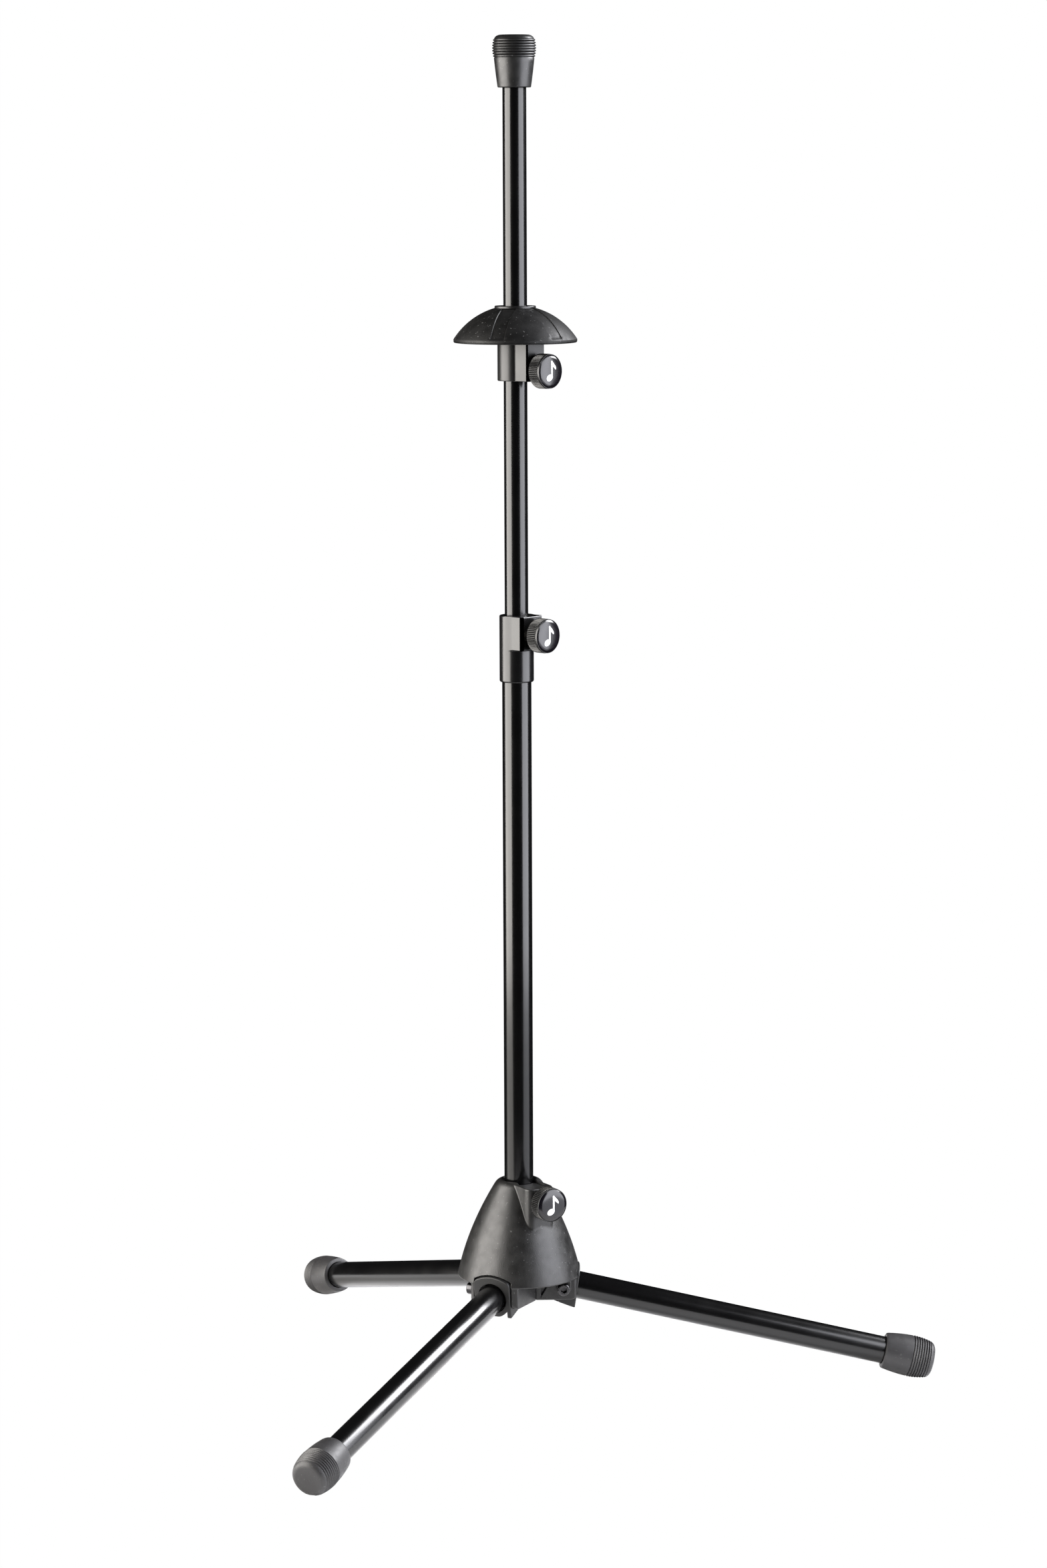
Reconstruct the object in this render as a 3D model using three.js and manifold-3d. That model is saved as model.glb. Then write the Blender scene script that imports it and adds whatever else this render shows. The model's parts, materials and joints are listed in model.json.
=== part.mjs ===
// Folding three-leg floor stand for a brass instrument: a telescoping rod with a rubber
// top cap, a ribbed rubber dome that holds the bell, and three clamp screws with round knobs.
// Millimetres, +Z up. z = 0 is the floor, and the origin is below the middle of the bounding box.
import * as THREE from "three";
import { mergeVertices } from "three/addons/utils/BufferGeometryUtils.js";
import Module from "manifold-3d";

const wasm = await Module();
wasm.setup();

// ---- driving dimensions ----
const GAP = 0.3; // clearance between neighbouring pieces
const ROUND = 28; // facets round a tube or a ring
const SMALL = 16; // facets round a screw
const WIDE = 40; // facets round the hub and the dome

const MAST = { r: 10, wall: 1.2, bottom: 84, top: 514.5 };
const UPPER = { r: 8, wall: 1, bottom: 378, top: 918 };
const LEG = { r: 9.5, wall: 1.2, start: -7, end: 258 }; // along the leg, from its pivot
const SLOPE = THREE.MathUtils.degToRad(13.18); // legs below the horizontal
const LEG_NAMES = ["a", "b", "c"]; // every third of a turn, leg a along +X

const PIVOT = { r: 30, z: 71.67 };
const HUB = { rimR: 42.8, rimZ: 78, neckR: 16, neckZ: 143.7, top: 145.8, wall: 3, sleeveR: 14.5 };
const HUB_CEILING = 112; // top of the hollow under the hub
const SOCKET = { r: 12.6, bottom: 66 }; // the sleeve widens at its foot, round the mast's end plug
const LUG = { inner: 14.3, screwSide: 17.6, nutSide: 18.8, pad: 19.1, bottom: 63, from: 10.5, to: 40 };
const LUG_CORNER = { nut: 5, screw: 6 }; // radius of each lug's lower outer corner
const LUG_WINDOW = { from: 14.5, to: 22.8, bottom: 66, top: 80 }; // three-cornered, beside the screw
const HEAD = { half: 13.9, shoulder: 11.5, crown: 15.5, heel: -13.3, cheek: 3, boss: 13.8 };
const NOTCH_GAP = 0.6; // between a joint head's arched top and the notch in the hub's rim
const HEAD_END = { top: 9, heel: 11.4 }; // the leg-side end face leans back from heel to crown

const FOOT = { mouth: 231.2, length: 35.2 };
const COLLAR = { r: 11.7, bottom: 493.3, top: 539, blockZ: 515.8, half: 11, face: 15.2, knobZ: 526.5 };
const SLEEVE = { r: 12.15, bottom: 698, top: 748.4, half: 8.95, face: 19, knobZ: 705.2 };
const SLEEVE_LIP = { r: 13.95, thickness: 2 };
const BLOCK_TOP = 734.5; // the sleeve's clamp block ends under the dome
const DOME = { centreZ: 699.3, sphereR: 49.6, shell: 3, rimR: 41.8, rimZ: 726, bottom: 723.7 };
const DOME_NECK = { inner: 15.5, outer: 14.4, top: 14.9 }; // radii where the dome meets the sleeve
const CAP = { bottom: 893.5, top: 928.2 };

const BOSS = { half: 10.7, face: 30, top: 144.6, bottom: 108, knobZ: 135.4 };
const SHOE = { half: 7.3, bottom: 127, top: 144.2, back: 20.5 };
const KNOB = { r: 11.75, length: 11.2, capR: 11, crown: 1.2, recess: 1.8, neckR: 4.8 };
const STUD_R = 3;
const INSERT_R = 5;
const SCREW = { r: 2.5, headR: 4.25, headLength: 4.5, socketAcross: 4 };
const NUT = { across: 8, thickness: 2.7 };

// clamp screws: direction round the rod, height, clamp face and knob face from the rod's axis
const HUB_CLAMP = { turn: -60, z: BOSS.knobZ, block: BOSS.face, face: 44.6 };
const COLLAR_CLAMP = { turn: -45, z: COLLAR.knobZ, block: COLLAR.face, face: 30.5 };
const BELL_CLAMP = { turn: -45, z: SLEEVE.knobZ, block: SLEEVE.face, face: 33.2 };

// ---- materials ----
const look = (color, roughness, metalness) =>
  new THREE.MeshStandardMaterial({ color, roughness, metalness });
const blackPaint = look(0x0b0b0c, 0.22, 0.1);
const satinPaint = look(0x17171a, 0.38, 0.1);
const hubPlastic = look(0x2b2a2a, 0.6, 0);
const jointPlastic = look(0x1f1f20, 0.5, 0);
const greyRubber = look(0x3a3a3c, 0.75, 0);
const domeRubber = look(0x161616, 0.8, 0);
const knobPlastic = look(0x131314, 0.35, 0);
const capPlastic = look(0x0e0e10, 0.15, 0);
const zincSteel = look(0x8a8a88, 0.35, 1);
const blackSteel = look(0x33333a, 0.3, 1);
const brass = look(0xb08d4a, 0.35, 1);
const whiteNylon = look(0xd8d6cf, 0.5, 0);

// ---- solids: a geometry becomes a closed solid, which can be joined and cut ----
function solid(geometry) {
  const bare = geometry.clone();
  bare.deleteAttribute("normal");
  bare.deleteAttribute("uv");
  const merged = mergeVertices(bare, 1e-4);
  const index = merged.index.array;
  const faces = [];
  for (let i = 0; i < index.length; i += 3) {
    const [a, b, c] = index.slice(i, i + 3);
    if (a !== b && b !== c && c !== a) faces.push(a, b, c);
  }
  const vertProperties = new Float32Array(merged.attributes.position.array);
  const triVerts = new Uint32Array(faces);
  return new wasm.Manifold(new wasm.Mesh({ numProp: 3, vertProperties, triVerts }));
}

const join = (...shapes) => shapes.reduce((sum, shape) => sum.add(shape));
const cut = (base, ...tools) => tools.reduce((rest, tool) => rest.subtract(tool), base);

function meshOf(name, shape, material) {
  const { vertProperties, triVerts } = shape.getMesh();
  const geometry = new THREE.BufferGeometry();
  geometry.setAttribute("position", new THREE.BufferAttribute(new Float32Array(vertProperties), 3));
  geometry.setIndex(new THREE.BufferAttribute(new Uint32Array(triVerts), 1));
  geometry.computeVertexNormals();
  const mesh = new THREE.Mesh(geometry, material);
  mesh.name = name;
  return mesh;
}

// ---- geometry helpers ----
// profile points are [radius, height]; the outline runs outwards first, then up
function turned(profile, facets = ROUND) {
  const points = profile.map(([r, z]) => new THREE.Vector2(r, z));
  return new THREE.LatheGeometry(points, facets).rotateX(Math.PI / 2);
}
const rod = (r, low, high, facets) => turned([[0, low], [r, low], [r, high], [0, high]], facets);
const ring = (inner, outer, low, high, facets) =>
  turned([[inner, low], [outer, low], [outer, high], [inner, high], [inner, low]], facets);

const alongX = (geometry) => geometry.rotateY(Math.PI / 2);
const alongY = (geometry) => geometry.rotateX(-Math.PI / 2);

// an outline in the X-Z plane, extruded from y = low to y = high
function slab(outline, low, high) {
  const shape = new THREE.Shape(outline.map(([x, z]) => new THREE.Vector2(x, z)));
  const depth = high - low;
  const plate = new THREE.ExtrudeGeometry(shape, { depth, bevelEnabled: false });
  return plate.rotateX(Math.PI / 2).translate(0, high, 0);
}

// points on a circle, from one angle to another, both in degrees
function arc(centreX, centreZ, radius, from, to, steps) {
  const points = [];
  for (let i = 0; i <= steps; i += 1) {
    const angle = THREE.MathUtils.degToRad(from + ((to - from) * i) / steps);
    points.push([centreX + radius * Math.cos(angle), centreZ + radius * Math.sin(angle)]);
  }
  return points;
}

// points from a to b on a shallow curve that stands out to the right of the way by its rise
function bulge([ax, az], [bx, bz], rise, steps) {
  const length = Math.hypot(bx - ax, bz - az);
  const [sideX, sideZ] = [(bz - az) / length, (ax - bx) / length];
  const points = [];
  for (let i = 0; i <= steps; i += 1) {
    const t = i / steps;
    const out = 4 * rise * t * (1 - t);
    points.push([ax + (bx - ax) * t + sideX * out, az + (bz - az) * t + sideZ * out]);
  }
  return points;
}

function box(x0, x1, halfY, z0, z1) {
  const geometry = new THREE.BoxGeometry(x1 - x0, 2 * halfY, z1 - z0);
  return geometry.translate((x0 + x1) / 2, 0, (z0 + z1) / 2);
}

// a hexagonal bar along Z, measured across its flats
const hexBar = (across, low, high) => rod(across / Math.sqrt(3), low, high, 6);

// ---- hub ----
const HUB_SWELL = 3.05; // the hub's flank bows out by this much
const hubFlank = (inset, steps) =>
  bulge([HUB.rimR - inset, HUB.rimZ], [HUB.neckR - inset, HUB.neckZ], HUB_SWELL, steps);

function hubBody() {
  const flank = hubFlank(0, 6);
  return turned([[0, HUB.rimZ], ...flank, [HUB.neckR - 1.4, HUB.top], [0, HUB.top]], WIDE);
}

// everything that the lugs may fill: the hub's own outline, with a straight skirt below it
function lugEnvelope() {
  const skirtR = HUB.rimR - 0.6;
  const flank = hubFlank(0.6, 3);
  return turned([[0, LUG.bottom - 5], [skirtR, LUG.bottom - 5], ...flank, [0, HUB.neckZ]], WIDE);
}

function hubHollow() {
  const inside = hubFlank(HUB.wall, 6).filter(([, z]) => z < HUB_CEILING);
  const skirt = [inside[0][0], LUG.bottom - 5];
  const last = inside[inside.length - 1][0] - 2;
  const low = [HUB.sleeveR, LUG.bottom - 5];
  return turned([low, skirt, ...inside, [last, HUB_CEILING], [HUB.sleeveR, HUB_CEILING], low], WIDE);
}

function lugOutline(corner) {
  const { from, to, bottom } = LUG;
  const foot = arc(to - corner, bottom + corner, corner, -90, 0, 4);
  return [[from, bottom], ...foot, [to, HUB_CEILING + 1], [from, HUB_CEILING + 1]];
}

// the space that a leg's joint head sweeps as it folds down: a barrel round the pivot, short of the
// sleeve and no higher than the head's arched top stands when the leg is open
function sweep() {
  const mid = Math.hypot(HEAD_END.top, HEAD.crown) + 0.6;
  const side = Math.hypot(HEAD_END.top, HEAD.shoulder) + 0.6;
  const edge = LUG.inner + 0.02;
  const outline = bulge([side, -edge], [side, edge], mid - side, 4);
  const barrel = turned([[0, -edge], ...outline, [0, edge]], ROUND);
  const reach = box(HUB.sleeveR + 1.3, 60, 20, 40, HUB_CEILING);
  const { half, shoulder, crown } = HEAD;
  const arch = bulge([half, shoulder + NOTCH_GAP], [-half, shoulder + NOTCH_GAP], crown - shoulder, 8);
  const wide = half + 4;
  const sides = [[-wide, shoulder + NOTCH_GAP], [-wide, -40], [wide, -40], [wide, shoulder + NOTCH_GAP]];
  const tunnel = slab([...sides, ...arch], -40, 40).rotateZ(Math.PI / 2).rotateY(SLOPE);
  const limits = solid(reach).intersect(solid(tunnel.translate(PIVOT.r, 0, PIVOT.z)));
  return solid(alongY(barrel).translate(PIVOT.r, 0, PIVOT.z)).intersect(limits);
}

function screwPad() {
  const { r, z } = PIVOT;
  const round = arc(r, z, 5.1, -180, 0, 10);
  return slab([...round, [r + 5.1, HUB.rimZ + 3], [r - 5.1, HUB.rimZ + 3]], -LUG.pad, -LUG.inner);
}

function hubShell() {
  const thirds = LEG_NAMES.map((_, i) => (i * 2 * Math.PI) / 3);
  const round = (geometry) => thirds.map((turn) => solid(geometry.clone().rotateZ(turn)));

  const nutLug = slab(lugOutline(LUG_CORNER.nut), LUG.inner, LUG.nutSide);
  const screwLug = slab(lugOutline(LUG_CORNER.screw), -LUG.screwSide, -LUG.inner);
  const lugs = join(...round(nutLug), ...round(screwLug)).intersect(solid(lugEnvelope()));
  const { from, to, bottom, top } = LUG_WINDOW;
  const window = slab([[from, bottom], [to, top], [from, top]], -LUG.screwSide - 1, -LUG.inner);
  const screwBore = alongY(rod(SCREW.r + GAP, -LUG.pad - 1, LUG.nutSide - 1, SMALL));
  const nutDepth = LUG.inner + NUT.thickness + 2 * GAP;
  const nutPocket = alongY(hexBar(NUT.across + 2 * GAP, LUG.inner - 1, nutDepth));
  const atPivot = (geometry) => geometry.translate(PIVOT.r, 0, PIVOT.z);

  const socketWall = ring(SOCKET.r, HUB.sleeveR, SOCKET.bottom, HUB.rimZ + 2, WIDE);
  const socket = solid(rod(SOCKET.r, SOCKET.bottom - 1, MAST.bottom, WIDE));
  const body = join(cut(solid(hubBody()), solid(hubHollow()), socket), solid(socketWall));
  const boss = box(0, BOSS.face, BOSS.half, BOSS.bottom, BOSS.top);
  const turn = THREE.MathUtils.degToRad(HUB_CLAMP.turn);
  const shoePocket = box(0, SHOE.back + 1.4, SHOE.half + GAP, SHOE.bottom - GAP, HUB.top + 5);
  const seat = alongX(rod(INSERT_R + GAP, SHOE.back, BOSS.face + 5, SMALL));
  const insertSeat = seat.translate(0, 0, BOSS.knobZ);

  const [mouthR, mouthZ] = [MAST.r + 2.4, HUB.top + 0.5];

  const inside = solid(hubHollow());
  const block = cut(solid(boss.rotateZ(turn)), inside);
  const whole = join(body, block, lugs, ...round(screwPad()));
  return cut(
    whole,
    ...round(window),
    ...round(atPivot(screwBore)),
    ...round(atPivot(nutPocket)),
    ...thirds.map((turn) => sweep().rotate([0, 0, THREE.MathUtils.radToDeg(turn)])),
    solid(rod(MAST.r + GAP, MAST.bottom - 20, HUB.top + 5)),
    solid(turned([[0, HUB.top - 1.5], [MAST.r + GAP, HUB.top - 1.5], [mouthR, mouthZ], [0, mouthZ]])),
    solid(shoePocket.rotateZ(turn)),
    solid(insertSeat.rotateZ(turn)),
  );
}

// ---- legs: X runs out along the leg from its pivot, Z is square to the leg ----
function jointHead() {
  const { half, shoulder, crown, heel, cheek, boss } = HEAD;
  const bossHalf = half - cheek;
  const bossAngle = THREE.MathUtils.radToDeg(Math.acos(bossHalf / boss));
  const belly = arc(0, 0, boss, bossAngle - 180, -bossAngle, 8);
  const top = bulge([half, shoulder], [-half, shoulder], crown - shoulder, 8);
  const section = [[-half, heel], [-bossHalf, heel], ...belly, [bossHalf, heel], [half, heel], ...top];
  const beam = slab(section, -20, 20).rotateZ(Math.PI / 2);
  const back = arc(0, 0, 11.6, 105, 256, 10);
  const side = [[HEAD_END.heel, heel], [HEAD_END.top, crown + 1], [-3, crown + 1], ...back];
  const profile = slab(side, -half - 1, half + 1);
  const socket = alongX(rod(LEG.r + GAP, LEG.start - GAP, 20));
  const mouth = alongX(rod(LEG.r + 1, HEAD_END.top - 1.5, 20));
  const screwHole = alongY(rod(SCREW.r + GAP, -20, 20, SMALL));
  return cut(solid(beam).intersect(solid(profile)), solid(socket), solid(mouth), solid(screwHole));
}

function legTube() {
  const tube = alongX(ring(LEG.r - LEG.wall, LEG.r, LEG.start, LEG.end));
  const screwHole = alongY(rod(SCREW.r + GAP, -20, 20, SMALL));
  return cut(solid(tube), solid(screwHole));
}

// the floor, seen from a leg's own frame
function floorBlock() {
  const floor = new THREE.BoxGeometry(700, 700, 100).translate(0, 0, -50);
  return floor.translate(-PIVOT.r, 0, -PIVOT.z).rotateY(-SLOPE);
}

function foot() {
  const inner = LEG.r + GAP;
  const end = FOOT.length;
  const swell = bulge([12.4, 1], [14.62, 21.5], 0.35, 4);
  const tip = [[14.6, 25.5], [13.9, 29.5], [12.7, 32.4], [11, 34.4], [9.3, end]];
  const outline = [[inner, 0], [12.1, 0], ...swell, ...tip, [0, end]];
  const bottom = LEG.end - FOOT.mouth + GAP;
  const boot = alongX(turned([[0, bottom], [inner, bottom], ...outline])).translate(FOOT.mouth, 0, 0);
  return cut(solid(boot), solid(floorBlock()));
}

function pivotScrew() {
  const { r, headR, headLength, socketAcross } = SCREW;
  const under = LUG.pad + GAP;
  const outer = under + headLength;
  const tip = LUG.inner + NUT.thickness + GAP;
  const outline = [[0, -outer], [headR - 0.4, -outer], [headR, 0.4 - outer], [headR, -under]];
  const bar = turned([...outline, [r, -under], [r, tip], [0, tip]], SMALL);
  const socket = hexBar(socketAcross, -outer - 1, 2.6 - outer);
  return cut(solid(bar), solid(socket));
}

function pivotNut() {
  const low = LUG.inner + GAP;
  const body = hexBar(NUT.across, low, low + NUT.thickness);
  return cut(solid(body), solid(rod(SCREW.r + GAP, low - 1, low + 10, SMALL)));
}

function makeLeg(name, turn) {
  const leg = new THREE.Group();
  leg.rotation.z = turn;
  const swing = new THREE.Group();
  swing.position.set(PIVOT.r, 0, PIVOT.z);
  swing.rotation.y = SLOPE;
  swing.add(meshOf(`leg_${name}_joint_head`, jointHead(), jointPlastic));
  swing.add(meshOf(`leg_${name}_tube`, legTube(), blackPaint));
  swing.add(meshOf(`leg_${name}_foot`, foot(), greyRubber));

  const pin = new THREE.Group(); // its Z axis is the pivot's, from the screw's head to its nut
  pin.position.set(PIVOT.r, 0, PIVOT.z);
  pin.rotation.x = -Math.PI / 2;
  pin.add(meshOf(`leg_${name}_pivot_screw`, pivotScrew(), blackSteel));
  pin.add(meshOf(`leg_${name}_pivot_nut`, pivotNut(), blackSteel));
  leg.add(swing, pin);
  return leg;
}

// ---- clamp screws: X runs out along the screw from the rod's axis, z = 0 on the screw ----
function knobHead(back) {
  const front = back + KNOB.length - KNOB.crown;
  const rim = [[KNOB.r - 1.15, back], [KNOB.r, back + 0.8], [KNOB.r, front - 0.5], [KNOB.r - 0.45, front]];
  const outline = [[0, back], ...rim, [0, front]];
  const bore = rod(STUD_R + GAP, back - 1, back + 6 + GAP, SMALL);
  const recess = rod(KNOB.capR + GAP, front - KNOB.recess, front + 1);
  return cut(solid(alongX(turned(outline))), solid(alongX(bore)), solid(alongX(recess)));
}

function knobCap(back) {
  const face = back + KNOB.length;
  const seat = face - KNOB.crown - KNOB.recess + GAP;
  const crown = [[KNOB.capR, face - 1.1], [9.9, face - 0.5], [7.5, face - 0.15], [0, face]];
  return solid(alongX(turned([[0, seat], [KNOB.capR, seat], ...crown])));
}

function knobStud(tip, block, back) {
  const [low, high] = [block + 1.4, back - GAP];
  const neck = [[STUD_R, low], [KNOB.neckR, low], [KNOB.neckR, high], [STUD_R, high]];
  const end = [[STUD_R, back + 6], [0, back + 6]];
  const outline = [[0, tip], [STUD_R - 0.5, tip], [STUD_R, tip + 0.5], ...neck, ...end];
  return solid(alongX(turned(outline, SMALL)));
}

function makeClamp(name, { turn, z, block, face }, tip, insertStart, shoe) {
  const back = face - KNOB.length;
  const clamp = new THREE.Group();
  clamp.rotation.z = THREE.MathUtils.degToRad(turn);
  clamp.position.z = z;
  const insert = alongX(ring(STUD_R + GAP, INSERT_R, insertStart, block - GAP, SMALL));
  clamp.add(meshOf(`${name}_insert`, solid(insert), brass));
  clamp.add(meshOf(`${name}_clamp_shoe`, shoe, whiteNylon));
  clamp.add(meshOf(`${name}_knob_stud`, knobStud(tip, block, back), zincSteel));
  clamp.add(meshOf(`${name}_knob`, knobHead(back), knobPlastic));
  clamp.add(meshOf(`${name}_knob_cap`, knobCap(back), capPlastic));
  return clamp;
}

// a wide shoe with a hollow face, pressed on the mast
function hubShoe() {
  const { half, bottom, top, back } = SHOE;
  const block = box(MAST.r - 3, back, half, bottom - BOSS.knobZ, top - BOSS.knobZ);
  const mastSpace = rod(MAST.r + 0.4, -60, 60);
  const recess = alongX(rod(STUD_R + GAP, back - 3.5, back + 1, SMALL));
  return cut(solid(block), solid(mastSpace), solid(recess));
}

// a small round pad in front of the screw
const roundShoe = (back) => solid(alongX(rod(STUD_R - 0.1, UPPER.r + 0.4, back, SMALL)));

// ---- mast and its clamp collar ----
const mastTube = () => solid(ring(MAST.r - MAST.wall, MAST.r, MAST.bottom, MAST.top));

function mastPlug() {
  const top = MAST.bottom - GAP;
  const spigot = MAST.r - MAST.wall - GAP;
  const flange = [[0, top - 3], [11.2, top - 3], [12, top - 2.2], [12, top]];
  return solid(turned([...flange, [spigot, top], [spigot, top + 11], [0, top + 11]]));
}

function clampBlock(half, face, low, high, edge) {
  const front = [[face - edge, low], [face, low + edge], [face, high - edge], [face - edge, high]];
  const outline = [[0, low], ...front, [0, high]];
  return slab(outline, -half, half);
}

function collar() {
  const { r, bottom, top, blockZ, half, face, knobZ } = COLLAR;
  const turn = THREE.MathUtils.degToRad(COLLAR_CLAMP.turn);
  const side = [[r - 0.6, bottom], [r, bottom + 0.6], [r, top - 0.4], [r - 0.4, top]];
  const barrel = turned([[0, bottom], ...side, [0, top]]);
  const block = clampBlock(half, face, blockZ, top, 0.4).rotateZ(turn);
  const mastBore = rod(MAST.r + GAP, bottom - 1, MAST.top + 5.4);
  const tubeBore = rod(UPPER.r + GAP, bottom, top + 1);
  const padBore = alongX(rod(STUD_R + GAP, 5, 12, SMALL)).translate(0, 0, knobZ).rotateZ(turn);
  const seat = alongX(rod(INSERT_R + GAP, 10.7, face + 1, SMALL)).translate(0, 0, knobZ).rotateZ(turn);
  const body = join(solid(barrel), solid(block));
  return cut(body, solid(mastBore), solid(tubeBore), solid(padBore), solid(seat));
}

const collarBush = () => solid(ring(UPPER.r + GAP, MAST.r, MAST.top + GAP, MAST.top + 5.1));

// ---- upper tube ----
const upperTube = () => solid(ring(UPPER.r - UPPER.wall, UPPER.r, UPPER.bottom, UPPER.top));

function upperGuide() {
  const top = UPPER.bottom - GAP;
  const spigot = UPPER.r - UPPER.wall - GAP;
  const slider = MAST.r - MAST.wall - GAP;
  const steps = [[slider, top - 5], [slider, top], [spigot, top], [spigot, top + 14]];
  return solid(turned([[0, top - 5], ...steps, [0, top + 14]]));
}

function topCap() {
  const { bottom, top } = CAP;
  const inner = UPPER.r + GAP;
  const roof = UPPER.top + GAP;
  const skirt = [[11.2, bottom], [13.6, 913]];
  const crown = bulge([14, 913.6], [13.7, 925.6], 0.75, 4);
  const cheek = [[12.2, 927.2], [9.4, top]];
  return solid(turned([[0, roof], [inner, roof], [inner, bottom], ...skirt, ...crown, ...cheek, [0, top]]));
}

// ---- bell rest ----
function bellSleeve() {
  const { r, bottom, top, half, face, knobZ } = SLEEVE;
  const turn = THREE.MathUtils.degToRad(BELL_CLAMP.turn);
  const lipZ = top - SLEEVE_LIP.thickness;
  const lip = [[SLEEVE_LIP.r, lipZ], [SLEEVE_LIP.r, top]];
  const barrel = turned([[0, bottom], [r, bottom], [r, lipZ], ...lip, [0, top]]);
  const block = clampBlock(half, face, bottom, BLOCK_TOP, 0.4).rotateZ(turn);
  const bore = rod(UPPER.r + GAP, bottom - 1, top + 1);
  const padBore = alongX(rod(STUD_R + GAP, 5, 14, SMALL)).translate(0, 0, knobZ).rotateZ(turn);
  const seat = alongX(rod(INSERT_R + GAP, 12.7, face + 1, SMALL)).translate(0, 0, knobZ).rotateZ(turn);
  return cut(join(solid(barrel), solid(block)), solid(bore), solid(padBore), solid(seat));
}

function bellDome() {
  const { centreZ, sphereR, shell, rimR, rimZ, bottom } = DOME;
  const hole = SLEEVE.r + GAP;
  const under = SLEEVE.top - SLEEVE_LIP.thickness - GAP;
  const angleAt = (radius, r) => THREE.MathUtils.radToDeg(Math.acos(r / radius));
  const innerR = sphereR - shell;
  const innerFrom = angleAt(innerR, rimR - shell - 0.4);
  const inside = arc(0, centreZ, innerR, angleAt(innerR, DOME_NECK.inner), innerFrom, 6);
  const outside = arc(0, centreZ, sphereR, angleAt(sphereR, rimR), angleAt(sphereR, DOME_NECK.top), 8);
  const rim = [[rimR - shell - 0.4, bottom], [rimR - 1, bottom], [rimR, bottom + 1], [rimR, rimZ - 0.6]];
  const low = [hole, BLOCK_TOP + GAP];
  const neck = [[DOME_NECK.outer, under], [hole, under], low];
  return solid(turned([low, [DOME_NECK.inner, low[1]], ...inside, ...rim, ...outside, ...neck], WIDE));
}

// ---- assembly ----
const stand = new THREE.Group();
stand.add(meshOf("hub_shell", hubShell(), hubPlastic));
LEG_NAMES.forEach((name, i) => stand.add(makeLeg(name, (i * 2 * Math.PI) / 3)));
stand.add(makeClamp("hub", HUB_CLAMP, SHOE.back - 3.2, SHOE.back + 1.7, hubShoe()));

stand.add(meshOf("mast_tube", mastTube(), blackPaint));
stand.add(meshOf("mast_end_plug", mastPlug(), jointPlastic));
stand.add(meshOf("collar", collar(), satinPaint));
stand.add(meshOf("collar_bush", collarBush(), whiteNylon));
stand.add(makeClamp("collar", COLLAR_CLAMP, 10.5, 11, roundShoe(10.2)));

stand.add(meshOf("upper_tube", upperTube(), blackPaint));
stand.add(meshOf("upper_tube_guide", upperGuide(), jointPlastic));
stand.add(meshOf("top_cap", topCap(), greyRubber));

stand.add(meshOf("bell_sleeve", bellSleeve(), satinPaint));
stand.add(meshOf("bell_dome", bellDome(), domeRubber));
stand.add(makeClamp("bell", BELL_CLAMP, 11.8, 13, roundShoe(11.5)));

const bounds = new THREE.Box3().setFromObject(stand, true);
const middle = bounds.getCenter(new THREE.Vector3());
stand.position.set(-middle.x, -middle.y, 0);
stand.updateMatrixWorld(true);

export default stand;
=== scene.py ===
"""Looks for a folding floor stand for a brass instrument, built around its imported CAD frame.

Lengths are in millimetres and become metres when a mesh is made; the stage and the camera are in metres.
The rod's own frame has its origin on the floor under the rod; a leg's frame has X along the leg from its
pivot, and Z square to it; a clamp's frame has X along its screw, out from the rod's axis.
"""

import json
import math

import bpy
import numpy as np
from mathutils import Matrix, Vector


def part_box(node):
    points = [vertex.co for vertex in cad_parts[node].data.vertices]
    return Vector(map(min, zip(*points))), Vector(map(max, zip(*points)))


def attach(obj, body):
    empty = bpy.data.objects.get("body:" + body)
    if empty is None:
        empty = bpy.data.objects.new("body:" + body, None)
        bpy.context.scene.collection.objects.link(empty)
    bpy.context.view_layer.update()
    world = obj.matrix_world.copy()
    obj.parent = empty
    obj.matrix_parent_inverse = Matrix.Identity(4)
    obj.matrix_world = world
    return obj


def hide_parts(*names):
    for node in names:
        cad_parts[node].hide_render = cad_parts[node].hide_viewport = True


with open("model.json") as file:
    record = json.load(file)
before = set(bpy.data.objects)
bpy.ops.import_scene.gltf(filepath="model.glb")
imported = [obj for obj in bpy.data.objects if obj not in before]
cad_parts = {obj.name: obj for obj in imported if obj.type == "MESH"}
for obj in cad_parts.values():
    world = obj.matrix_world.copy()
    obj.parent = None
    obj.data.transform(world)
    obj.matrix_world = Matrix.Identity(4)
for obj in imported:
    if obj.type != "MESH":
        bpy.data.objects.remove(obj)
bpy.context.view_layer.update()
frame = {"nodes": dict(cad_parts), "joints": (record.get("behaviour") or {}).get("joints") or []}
JOINTS = {joint["name"]: joint for joint in frame["joints"]}
MM = 0.001

# ---- driving dimensions: the CAD model's, and the few of details that it leaves plain ----
MAST_R, MAST_WALL = 10, 1.2
UPPER_R, UPPER_WALL = 8, 1
LEG_R, LEG_WALL = 9.5, 1.2
LEG_START, LEG_END = -7, 258
LEG_SLOPE = math.radians(13.18)
PIVOT_R, PIVOT_Z = 30, 71.67
FOOT_MOUTH, FOOT_LENGTH = 231.2, 35.2

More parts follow.
